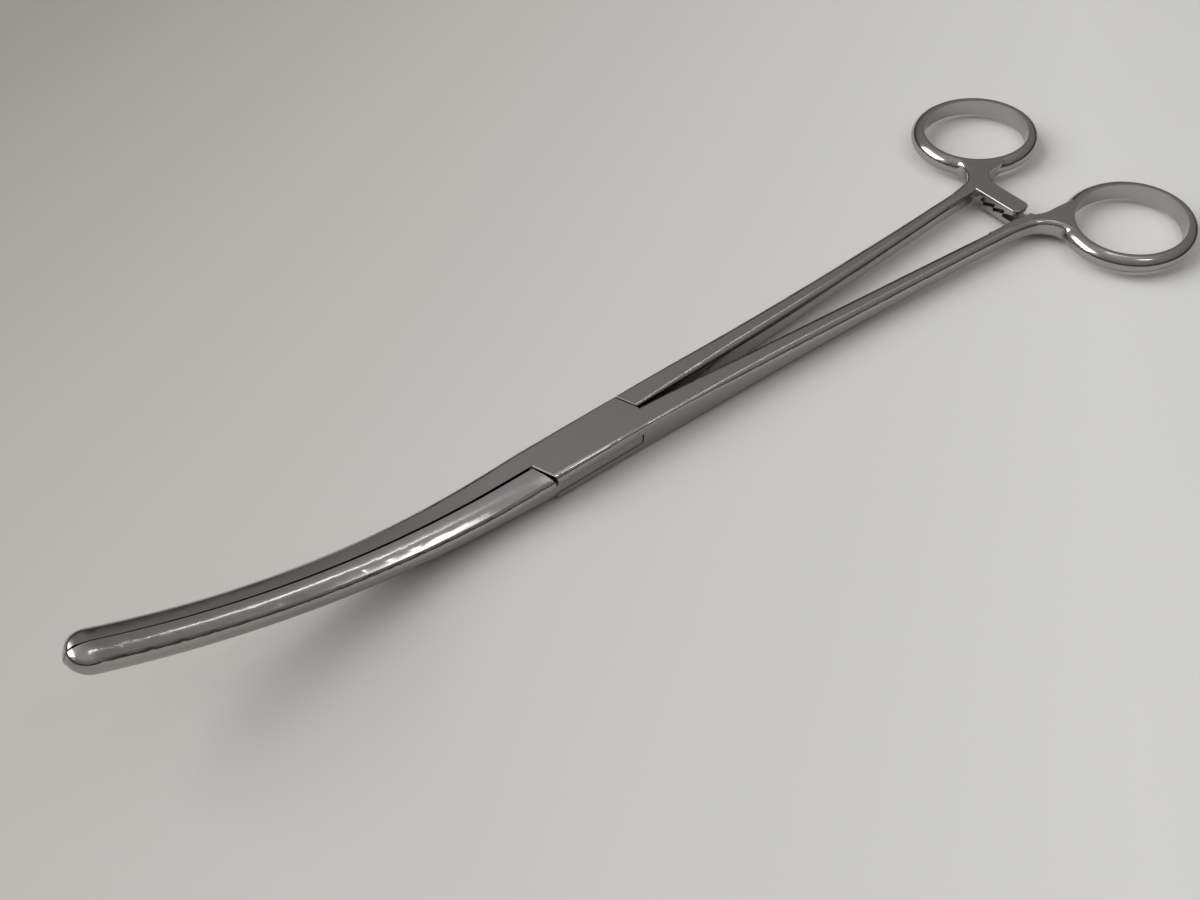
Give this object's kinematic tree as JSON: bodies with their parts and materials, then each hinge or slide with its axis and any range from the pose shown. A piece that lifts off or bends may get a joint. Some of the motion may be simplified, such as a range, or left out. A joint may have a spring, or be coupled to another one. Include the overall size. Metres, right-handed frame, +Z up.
{
  "type": "intestinal clamp",
  "caption": "Curved intestinal clamp with finger rings, a box joint and a ratchet lock, shown shut.",
  "frame": {"origin": "on the rivet's axis, at the lower face of the box joint, which is the face the clamp rests on", "axes": "+X runs along the clamp to the finger rings, +Z is up along the rivet, out of the face seen in the picture, and +Y completes the right-handed frame. The jaws run to -X and curve up towards +Z."},
  "size_m": [0.2552, 0.0754, 0.0251],
  "materials": {
    "box_half": "polished stainless steel with satin flats",
    "insert_half": "polished stainless steel with satin flats",
    "pivot_pin": "satin, ground flush"
  },
  "bodies": {
    "box_body": {"box_half": "box_half", "pivot_pin": "pivot_pin"},
    "insert_body": {"insert_half": "insert_half"}
  },
  "joints": [
    {"name": "box_joint", "type": "hinge", "parent": "box_body", "child": "insert_body", "pos_m": [0, 0, 0.0034], "axis": [0, 0, 1], "range_deg": [0, 30]}
  ]
}
